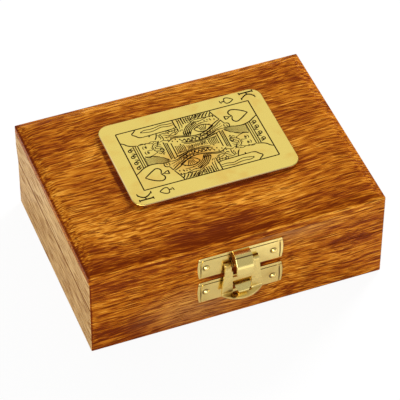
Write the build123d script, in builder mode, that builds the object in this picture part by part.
"""A wooden box for a deck of playing cards, with a hinged lid and a brass hasp.

The box stands on Z = 0 and is centred on X. The latch is at the front, on the
minus Y side, and the two hinges are at the back. All sizes are in millimetres.
"""
import os
from math import asin, degrees, radians, tan

from build123d import *

# Wooden box: a ring of four mitred walls, sawn through at the seam
box_length = 115.5
box_depth = 83.8
box_height = 39.6
seam_height = 21.8
wall = 9.0
edge_round = 0.5
seam_chamfer = 0.25

# Boards that close the two rings
bottom_board = 4.0
bottom_rebate = 2.0
top_board = 4.2
top_bevel_width = 4.0
top_bevel_drop = 1.2
top_bevel_blend = 9.0
board_clearance = 0.05

# The lid stands proud of the base at the back, and slopes in to the seam
lid_overhang = 1.6
lid_slope_height = 6.8
lid_slope_blend = 5.0

# Brass playing card glued on the lid
card_length = 65.8
card_width = 45.0
card_thickness = 1.2
card_corner = 4.6
card_edge_round = 0.35
card_x = 2.35
card_y = 6.4

# Latch plates, pressed from brass sheet
latch_x = 0.2
latch_sheet = 0.8
plate_width = 32.4
plate_bow = 0.6
plate_height = 10.2
plate_corner = 0.5
plate_edge_round = 0.2
upper_plate_lift = 1.75
lower_plate_drop = 0.65
groove_inset = 1.1
groove_width = 0.4
groove_depth = 0.25

# Round-headed nails that hold the latch
latch_nail_spacing = 26.4
latch_nail_drop = 0.2
upper_right_nail_sink = 0.5
lower_right_nail_sink = 1.2
latch_nail_head = 1.15
latch_nail_dome = 0.75
latch_nail_shank = 0.5
latch_nail_length = 6.0
nail_clearance = 0.03

# Hasp and the pin that it swings on
pivot_out = 1.7
pivot_drop = 0.75
latch_pin_radius = 0.5
latch_pin_spare = 0.15
pin_clearance = 0.05
eye_radius = 1.0
eye_clearance = 0.2
slot_spare = 0.35
hasp_top_width = 13.2
hasp_bottom_width = 16.2
hasp_window_width = 7.4
hasp_bar = 1.8
hasp_bar_gap = 1.9
hasp_bend_radius = 1.2
hasp_lip_out = 3.3
hasp_lip_drop = 1.2

# Strap over the hasp, and the two cheeks that carry its pin
strap_width = 6.6
strap_edge_round = 0.25
strap_root_drop = 0.75
strap_shoulder_out = 3.3
strap_shoulder_drop = 1.05
strap_nose_out = 5.45
strap_nose_drop = 4.75
strap_end_drop = 8.35
strap_shoulder_radius = 0.9
strap_nose_radius = 2.6
cheek_thickness = 0.7
cheek_gap = 0.15
cheek_margin = 0.65
cheek_foot = 4.4

# Catch tongue, bent out of the lower latch plate
tongue_width = 6.2
tongue_tip_width = 1.9
tongue_sheet = 0.7
tongue_root_drop = 3.45
tongue_shoulder_out = 3.1
tongue_nose_out = 4.75
tongue_nose_drop = 2.85
tongue_tip_out = 2.1
tongue_tip_drop = 3.2
tongue_bend_radius = 0.6
tongue_clearance = 0.45

# Butt hinges, let into the seam
hinge_inset = 23.75
hinge_length = 16.0
hinge_leaf_depth = 7.0
hinge_leaf_thickness = 0.7
hinge_leaf_gap = 0.1
hinge_out = 1.5
hinge_barrel_radius = 1.3
hinge_pin_radius = 0.5
hinge_pin_spare = 0.2
hinge_knuckle = 6.0
hinge_knuckle_gap = 0.15
mortise_clearance = 0.1
hinge_nail_spacing = 9.8
hinge_nail_head = 1.0
hinge_nail_shank = 0.45
hinge_nail_length = 6.0
countersink_angle = 82.0

# Faces and levels that follow from the sizes above
front = -box_depth / 2
back = box_depth / 2
lid_back = back + lid_overhang
lid_middle = (front + lid_back) / 2
lid_depth = lid_back - front
inner_length = box_length - 2 * wall
inner_depth = box_depth - 2 * wall
board_underside = box_height - top_board
upper_plate = seam_height + upper_plate_lift + plate_height / 2
lower_plate = seam_height - lower_plate_drop - plate_height / 2
pivot_height = upper_plate - pivot_drop
plate_top = upper_plate + plate_height / 2
tongue_root = lower_plate + plate_height / 2 - tongue_root_drop
hinge_y = back + hinge_out
hinge_xs = {"left": hinge_inset - box_length / 2, "right": box_length / 2 - hinge_inset}

# On latch_front, x runs to the right and y upwards, and an extrusion comes out of the box.
# On latch_side, x runs out of the box and y upwards.
latch_front = Plane(origin=(latch_x, front, 0), x_dir=(1, 0, 0), z_dir=(0, -1, 0))
latch_side = Plane(origin=(latch_x, front, 0), x_dir=(0, -1, 0), z_dir=(-1, 0, 0))

os.makedirs("parts", exist_ok=True)


def save(part, name):
    """Label a finished piece and write it to its own file."""
    part.label = name
    export_step(part, f"parts/{name}.step")


# --- Mitred walls -----------------------------------------------------------

# Share of its length by which a mitre's cutting line is carried on at both ends
mitre_overrun = 0.25

# The two corners that each wall runs between, as (X side, Y side)
wall_ends = {
    "front": ((-1, -1), (1, -1)),
    "right": ((1, -1), (1, 1)),
    "back": ((1, 1), (-1, 1)),
    "left": ((-1, 1), (-1, -1)),
}


def mitre_line(x_side, y_side, back_face):
    """A mitre's line in plan, carried on past the outer and the inner corner."""
    outer = Vector(x_side * box_length / 2, front if y_side < 0 else back_face)
    inner = Vector(x_side * inner_length / 2, y_side * inner_depth / 2)
    overrun = (inner - outer) * mitre_overrun
    return outer - overrun, inner + overrun


def mitred_wall(ring, side, back_face):
    """One wall of a ring, between its two mitres."""
    first, second = (mitre_line(*end, back_face) for end in wall_ends[side])
    with BuildPart() as piece:
        add(ring)
        with BuildSketch():
            with BuildLine():
                Polyline(first[0], second[0], second[1], first[1], close=True)
            make_face()
        extrude(amount=box_height, mode=Mode.INTERSECT)
    return piece.part


def latch_nail_places(plate_middle, right_sink):
    """Centres of a latch plate's two nails; the right one was driven a little lower."""
    height = plate_middle - latch_nail_drop
    return [(-latch_nail_spacing / 2, height), (latch_nail_spacing / 2, height - right_sink)]


def latch_nail_holes(nail_places):
    """Outline of the holes for a latch plate's nails."""
    with BuildSketch(latch_front) as holes:
        with Locations(nail_places):
            Circle(latch_nail_shank + nail_clearance)
    return holes.sketch


upper_nails = latch_nail_places(upper_plate, upper_right_nail_sink)
lower_nails = latch_nail_places(lower_plate, lower_right_nail_sink)


nail_steps = (-hinge_nail_spacing / 2, hinge_nail_spacing / 2)
hinge_nail_places = [
    (x + step, back - hinge_leaf_depth / 2) for x in hinge_xs.values() for step in nail_steps
]
mortise_depth = hinge_leaf_depth + mortise_clearance + lid_overhang

with BuildSketch(Plane.XY.offset(seam_height)) as hinge_mortises:
    with Locations([(x, lid_back - mortise_depth / 2) for x in hinge_xs.values()]):
        Rectangle(hinge_length + 2 * mortise_clearance, mortise_depth)

with BuildSketch(Plane.XY.offset(seam_height)) as hinge_nail_holes:
    with Locations(hinge_nail_places):
        Circle(hinge_nail_shank + nail_clearance)

hinge_sink = hinge_leaf_gap / 2 + hinge_leaf_thickness
hinge_nail_reach = hinge_leaf_gap / 2 + hinge_nail_length

with BuildPart() as base_ring:
    with BuildSketch():
        Rectangle(box_length, box_depth)
        Rectangle(inner_length, inner_depth, mode=Mode.SUBTRACT)
    extrude(amount=seam_height)
    outer_corners = base_ring.edges().filter_by(Axis.Z).sort_by_distance((0, 0, 0))[-4:]
    fillet(outer_corners, edge_round)
    fillet(base_ring.faces().sort_by(Axis.Z)[0].outer_wire().edges(), edge_round)
    chamfer(base_ring.faces().sort_by(Axis.Z)[-1].outer_wire().edges(), seam_chamfer)
    with BuildSketch():
        Rectangle(inner_length + 2 * bottom_rebate, inner_depth + 2 * bottom_rebate)
    extrude(amount=bottom_board, mode=Mode.SUBTRACT)
    extrude(hinge_mortises.sketch, amount=-hinge_sink, mode=Mode.SUBTRACT)
    extrude(hinge_nail_holes.sketch, amount=-hinge_nail_reach, mode=Mode.SUBTRACT)
    extrude(latch_nail_holes(lower_nails), amount=-latch_nail_length, mode=Mode.SUBTRACT)

with BuildPart() as lid_ring:
    with BuildSketch(Plane.XY.offset(seam_height)):
        with Locations((0, lid_middle)):
            Rectangle(box_length, lid_depth)
        Rectangle(inner_length, inner_depth, mode=Mode.SUBTRACT)
    extrude(amount=board_underside - seam_height)
    with BuildSketch(Plane.YZ):
        with BuildLine():
            Polyline(
                (back, seam_height),
                (lid_back, seam_height + lid_slope_height),
                (lid_back + lid_overhang, seam_height + lid_slope_height),
                (lid_back + lid_overhang, seam_height),
                close=True,
            )
        make_face()
    extrude(amount=box_length, both=True, mode=Mode.SUBTRACT)
    slope_edge = lid_ring.edges().filter_by(Axis.X).sort_by_distance(
        (0, lid_back, seam_height + lid_slope_height)
    )[0]
    fillet(slope_edge, lid_slope_blend)
    upright = lid_ring.edges().filter_by(lambda edge: abs(edge.tangent_at(0.5).Z) > 0.5)
    outer_corners = upright.filter_by(lambda edge: abs(edge.center().X) > (box_length - wall) / 2)
    fillet(outer_corners, edge_round)
    chamfer(lid_ring.faces().sort_by(Axis.Z)[0].outer_wire().edges(), seam_chamfer)
    extrude(hinge_mortises.sketch, amount=hinge_sink, mode=Mode.SUBTRACT)
    extrude(hinge_nail_holes.sketch, amount=hinge_nail_reach, mode=Mode.SUBTRACT)
    extrude(latch_nail_holes(upper_nails), amount=-latch_nail_length, mode=Mode.SUBTRACT)

for side_name in wall_ends:
    save(mitred_wall(base_ring.part, side_name, back), f"base_{side_name}_wall")
    save(mitred_wall(lid_ring.part, side_name, lid_back), f"lid_{side_name}_wall")


# --- Boards -----------------------------------------------------------------

with BuildPart() as base_bottom_panel:
    with BuildSketch():
        Rectangle(
            inner_length + 2 * (bottom_rebate - board_clearance),
            inner_depth + 2 * (bottom_rebate - board_clearance),
        )
    extrude(amount=bottom_board)
save(base_bottom_panel.part, "base_bottom_panel")

with BuildPart() as lid_top_panel:
    with BuildSketch(Plane.XY.offset(board_underside)):
        with Locations((0, lid_middle)):
            Rectangle(box_length, lid_depth)
    extrude(amount=top_board)
    top_face = lid_top_panel.faces().sort_by(Axis.Z)[-1]
    chamfer(top_face.edges(), top_bevel_width, top_bevel_drop, reference=top_face)
    fillet(lid_top_panel.edges().filter_by(Axis.Z), edge_round)
    fillet(lid_top_panel.faces().sort_by(Axis.Z)[-1].edges(), top_bevel_blend)
save(lid_top_panel.part, "lid_top_panel")

with BuildPart() as card_plate:
    with BuildSketch(Plane.XY.offset(box_height)):
        with Locations((card_x, card_y)):
            RectangleRounded(card_length, card_width, card_corner)
    extrude(amount=card_thickness)
    fillet(card_plate.faces().sort_by(Axis.Z)[-1].edges(), card_edge_round)
save(card_plate.part, "card_plate")


# --- Latch plates -----------------------------------------------------------


def plate_face(middle, inset):
    """Outline of a latch plate with bowed ends; an inset one is narrower and lies lower."""
    half = plate_width / 2 - inset
    top = middle + plate_height / 2 - inset
    foot = top - plate_height
    with BuildSketch(latch_front) as outline:
        with BuildLine():
            Line((-half, top), (half, top))
            ThreePointArc((half, top), (half + plate_bow, (top + foot) / 2), (half, foot))
            Line((half, foot), (-half, foot))
            ThreePointArc((-half, foot), (-half - plate_bow, (top + foot) / 2), (-half, top))
        make_face()
        fillet(outline.vertices(), plate_corner)
    return outline.sketch


def latch_plate(middle, nail_places):
    """A bare latch plate with the pressed line along its edge and its nail holes."""
    with BuildPart() as plate:
        extrude(plate_face(middle, 0), amount=latch_sheet)
        outer_face = plate.faces().sort_by(Axis.Y)[0]
        fillet(outer_face.edges(), plate_edge_round)
        groove = plate_face(middle, groove_inset) - plate_face(middle, groove_inset + groove_width)
        groove_floor = latch_sheet - groove_depth
        extrude(Pos(0, -groove_floor, 0) * groove, amount=latch_sheet, mode=Mode.SUBTRACT)
        extrude(latch_nail_holes(nail_places), amount=latch_sheet, mode=Mode.SUBTRACT)
    return plate.part


strap_path = [
    (latch_sheet / 2, plate_top - strap_root_drop),
    (strap_shoulder_out, plate_top - strap_shoulder_drop),
    (strap_nose_out, plate_top - strap_nose_drop),
    (strap_nose_out, plate_top - strap_end_drop),
]
cheek_inside = strap_width / 2 + cheek_gap
cheek_outside = cheek_inside + cheek_thickness
slot_half = eye_radius + slot_spare
slot_end = hasp_top_width / 2 + eye_clearance

with BuildPart() as lid_latch_plate:
    add(latch_plate(upper_plate, upper_nails))
    # The strap and the cheeks are bent out of this window, and the eyes turn in the two slots
    with BuildSketch(latch_front):
        window_top = plate_top - strap_root_drop - latch_sheet / 2
        window_height = window_top - (upper_plate - plate_height)
        with Locations((0, window_top - window_height / 2)):
            Rectangle(2 * cheek_inside, window_height)
        slot_length = slot_end - cheek_outside
        with Locations(
            (-cheek_outside - slot_length / 2, pivot_height),
            (cheek_outside + slot_length / 2, pivot_height),
        ):
            Rectangle(slot_length, 2 * slot_half)
    extrude(amount=latch_sheet, mode=Mode.SUBTRACT)
    with BuildSketch(latch_side):
        with BuildLine():
            FilletPolyline(strap_path, radius=[strap_shoulder_radius, strap_nose_radius])
        trace(line_width=latch_sheet)
    extrude(amount=strap_width / 2, both=True)
    strap_sides = lid_latch_plate.faces().filter_by(Axis.X)
    strap_sides = strap_sides.filter_by(lambda face: face.center().Y < front - 2 * latch_sheet)
    strap_edges = strap_sides.edges().filter_by(lambda edge: edge.center().Y < front - latch_sheet)
    fillet(strap_edges, strap_edge_round)
    for cheek_side in (-1, 1):
        with BuildSketch(latch_side.offset(cheek_side * (cheek_inside + cheek_thickness / 2))):
            with Locations((pivot_out, pivot_height)):
                Circle(latch_pin_radius + cheek_margin)
            with Locations((latch_sheet / 2, pivot_height)):
                Rectangle(latch_sheet, cheek_foot)
            make_hull()
        extrude(amount=cheek_thickness / 2, both=True)
    with BuildSketch(latch_side):
        with Locations((pivot_out, pivot_height)):
            Circle(latch_pin_radius + nail_clearance)
    extrude(amount=cheek_outside, both=True, mode=Mode.SUBTRACT)
save(lid_latch_plate.part, "lid_latch_plate")

with BuildPart() as base_latch_plate:
    add(latch_plate(lower_plate, lower_nails))
    tongue_path = [
        (latch_sheet / 2, tongue_root),
        (tongue_shoulder_out, tongue_root),
        (tongue_nose_out, tongue_root - tongue_nose_drop),
        (tongue_tip_out, tongue_root - tongue_tip_drop),
    ]
    # The tongue is bent out of this window
    with BuildSketch(latch_front):
        tongue_window = tongue_tip_drop + tongue_sheet
        with Locations((0, tongue_root - tongue_sheet / 2 - tongue_window / 2)):
            Rectangle(tongue_width, tongue_window)
    extrude(amount=latch_sheet, mode=Mode.SUBTRACT)
    with BuildSketch(latch_side, mode=Mode.PRIVATE) as tongue_profile:
        with BuildLine():
            FilletPolyline(tongue_path, radius=tongue_bend_radius)
        trace(line_width=tongue_sheet)
    tongue_bar = extrude(tongue_profile.sketch, tongue_width / 2, both=True, mode=Mode.PRIVATE)
    with BuildSketch(latch_front, mode=Mode.PRIVATE) as tongue_outline:
        top = tongue_root + tongue_sheet
        tip = tongue_root - tongue_tip_drop - tongue_sheet
        with BuildLine():
            Polyline(
                (-tongue_width / 2, top),
                (tongue_width / 2, top),
                (tongue_width / 2, tongue_root - tongue_sheet / 2),
                (tongue_tip_width / 2, tip),
                (-tongue_tip_width / 2, tip),
                (-tongue_width / 2, tongue_root - tongue_sheet / 2),
                close=True,
            )
        make_face()
    tongue_block = extrude(tongue_outline.sketch, 2 * tongue_nose_out, mode=Mode.PRIVATE)
    add(tongue_bar & tongue_block)
save(base_latch_plate.part, "base_latch_plate")


# --- Hasp and its pin -------------------------------------------------------

hasp_face_out = pivot_out + eye_radius - latch_sheet / 2
hasp_foot = tongue_root - tongue_tip_drop - tongue_sheet / 2 - tongue_clearance
bar_foot = tongue_root + tongue_sheet / 2 + hasp_bar_gap
bar_top = bar_foot + hasp_bar
arm_gap = cheek_outside + cheek_gap
shoulder_height = pivot_height - cheek_foot / 2 - latch_sheet
hasp_top = pivot_height + eye_radius + latch_sheet
hasp_floor = hasp_foot - hasp_lip_drop - latch_sheet

with BuildPart() as hasp:
    # The sheet runs on past the lip's rim, which is trimmed below
    with BuildSketch(latch_side):
        with BuildLine():
            FilletPolyline(
                (hasp_face_out, pivot_height),
                (hasp_face_out, hasp_foot),
                (hasp_face_out + hasp_lip_out + latch_sheet, hasp_foot - hasp_lip_drop),
                radius=hasp_bend_radius,
            )
        trace(line_width=latch_sheet)
        with Locations((pivot_out, pivot_height)):
            Circle(eye_radius)
    extrude(amount=hasp_bottom_width, both=True)
    # Outline from the front, with sides that spread downwards
    with BuildSketch(latch_front):
        with BuildLine():
            Polyline(
                (-hasp_bottom_width / 2, hasp_floor),
                (-hasp_bottom_width / 2, hasp_foot),
                (-hasp_top_width / 2, pivot_height),
                (-hasp_top_width / 2, hasp_top),
                (hasp_top_width / 2, hasp_top),
                (hasp_top_width / 2, pivot_height),
                (hasp_bottom_width / 2, hasp_foot),
                (hasp_bottom_width / 2, hasp_floor),
                close=True,
            )
        make_face()
    extrude(amount=3 * hasp_lip_out, mode=Mode.INTERSECT)
    # Outline from above, where the lip's rim is one arc
    with BuildSketch(Plane(origin=(latch_x, front, hasp_floor), x_dir=(-1, 0, 0), z_dir=(0, 0, 1))):
        rim_end = hasp_face_out + latch_sheet / 2
        with BuildLine():
            ThreePointArc(
                (-hasp_bottom_width / 2, rim_end),
                (0, hasp_face_out + hasp_lip_out),
                (hasp_bottom_width / 2, rim_end),
            )
            Polyline(
                (hasp_bottom_width / 2, rim_end),
                (hasp_bottom_width / 2, 0),
                (-hasp_bottom_width / 2, 0),
                (-hasp_bottom_width / 2, rim_end),
            )
        make_face()
    extrude(amount=hasp_top - hasp_floor, mode=Mode.INTERSECT)
    # Upper window for the strap and its cheeks, lower window for the catch tongue
    with BuildSketch(latch_front):
        with Locations((0, (bar_top + hasp_top) / 2)):
            Rectangle(hasp_window_width, hasp_top - bar_top)
        with Locations((0, (shoulder_height + hasp_top) / 2)):
            Rectangle(2 * arm_gap, hasp_top - shoulder_height)
        with Locations((0, (hasp_foot + bar_foot) / 2)):
            Rectangle(hasp_window_width, bar_foot - hasp_foot)
    extrude(amount=3 * hasp_lip_out, mode=Mode.SUBTRACT)
    with BuildSketch(latch_side):
        with Locations((pivot_out, pivot_height)):
            Circle(latch_pin_radius + pin_clearance)
    extrude(amount=hasp_top_width, both=True, mode=Mode.SUBTRACT)
save(hasp.part, "hasp")

with BuildPart() as latch_pin:
    with BuildSketch(latch_side):
        with Locations((pivot_out, pivot_height)):
            Circle(latch_pin_radius)
    extrude(amount=hasp_top_width / 2 + latch_pin_spare, both=True)
save(latch_pin.part, "latch_pin")


# --- Hinges -----------------------------------------------------------------

knuckle_half = hinge_knuckle / 2
knuckle_end = knuckle_half + hinge_knuckle_gap
base_knuckles = [(-hinge_length / 2, -knuckle_end), (knuckle_end, hinge_length / 2)]
lid_knuckles = [(-knuckle_half, knuckle_half)]


def hinge_leaf(x, side, knuckles):
    """A leaf with its knuckles; side is -1 for the base's leaf and 1 for the lid's."""
    inner_face = seam_height + side * hinge_leaf_gap / 2
    middle = inner_face + side * hinge_leaf_thickness / 2
    with BuildPart() as leaf:
        with BuildSketch(Plane.XY.offset(inner_face)):
            with Locations((x, back - hinge_leaf_depth / 2)):
                Rectangle(hinge_length, hinge_leaf_depth)
        extrude(amount=side * hinge_leaf_thickness)
        for start, end in knuckles:
            with BuildSketch(Plane.YZ.offset(x + start)):
                with Locations((hinge_y, seam_height)):
                    Circle(hinge_barrel_radius)
                with Locations((back + hinge_out / 2, middle)):
                    Rectangle(hinge_out, hinge_leaf_thickness)
                with Locations((hinge_y, seam_height)):
                    Circle(hinge_pin_radius + pin_clearance, mode=Mode.SUBTRACT)
            extrude(amount=end - start)
        with BuildSketch(Plane.XY.offset(inner_face)):
            with Locations(hinge_nail_places):
                Circle(hinge_nail_head + nail_clearance)
        extrude(
            amount=side * hinge_leaf_thickness,
            taper=countersink_angle / 2,
            mode=Mode.SUBTRACT,
        )
        extrude(hinge_nail_holes.sketch, amount=side * hinge_sink, mode=Mode.SUBTRACT)
    return leaf.part


for side_name, hinge_x in hinge_xs.items():
    save(hinge_leaf(hinge_x, -1, base_knuckles), f"hinge_base_leaf_{side_name}")
    save(hinge_leaf(hinge_x, 1, lid_knuckles), f"hinge_lid_leaf_{side_name}")
    with BuildPart() as hinge_pin:
        with BuildSketch(Plane.YZ.offset(hinge_x)):
            with Locations((hinge_y, seam_height)):
                Circle(hinge_pin_radius)
        extrude(amount=hinge_length / 2 + hinge_pin_spare, both=True)
    save(hinge_pin.part, f"hinge_pin_{side_name}")


# --- Nails ------------------------------------------------------------------

# Both nails are made point down, with the top of the sheet that they hold at height 0
with BuildPart() as dome_nail:
    dome_radius = (latch_nail_head**2 + latch_nail_dome**2) / (2 * latch_nail_dome)
    dome_angle = degrees(asin(latch_nail_head / dome_radius))
    point = -latch_sheet - latch_nail_length
    with BuildSketch(Plane.XZ):
        with BuildLine():
            CenterArc((0, latch_nail_dome - dome_radius), dome_radius, 90 - dome_angle, dome_angle)
            Polyline(
                (latch_nail_head, 0),
                (latch_nail_shank, 0),
                (latch_nail_shank, point + latch_nail_head),
                (0, point),
                (0, latch_nail_dome),
            )
        make_face()
    revolve(axis=Axis.Z)

with BuildPart() as flush_nail:
    head_depth = (hinge_nail_head - hinge_nail_shank) / tan(radians(countersink_angle / 2))
    with BuildSketch(Plane.XZ):
        with BuildLine():
            Polyline(
                (0, 0),
                (hinge_nail_head, 0),
                (hinge_nail_shank, -head_depth),
                (hinge_nail_shank, hinge_nail_head - hinge_nail_length),
                (0, -hinge_nail_length),
                close=True,
            )
        make_face()
    revolve(axis=Axis.Z)

for node_name, nail_places in (("lid_latch_nails", upper_nails), ("base_latch_nails", lower_nails)):
    with BuildPart(latch_front.offset(latch_sheet)) as latch_nails:
        with Locations(nail_places):
            add(dome_nail.part)
    save(latch_nails.part, node_name)

with BuildPart(Plane.XY.offset(seam_height - hinge_leaf_gap / 2)) as hinge_base_nails:
    with Locations(hinge_nail_places):
        add(flush_nail.part)
save(hinge_base_nails.part, "hinge_base_nails")

with BuildPart(Plane.XY.offset(seam_height + hinge_leaf_gap / 2)) as hinge_lid_nails:
    with Locations(hinge_nail_places):
        add(Rotation(180, 0, 0) * flush_nail.part)
save(hinge_lid_nails.part, "hinge_lid_nails")
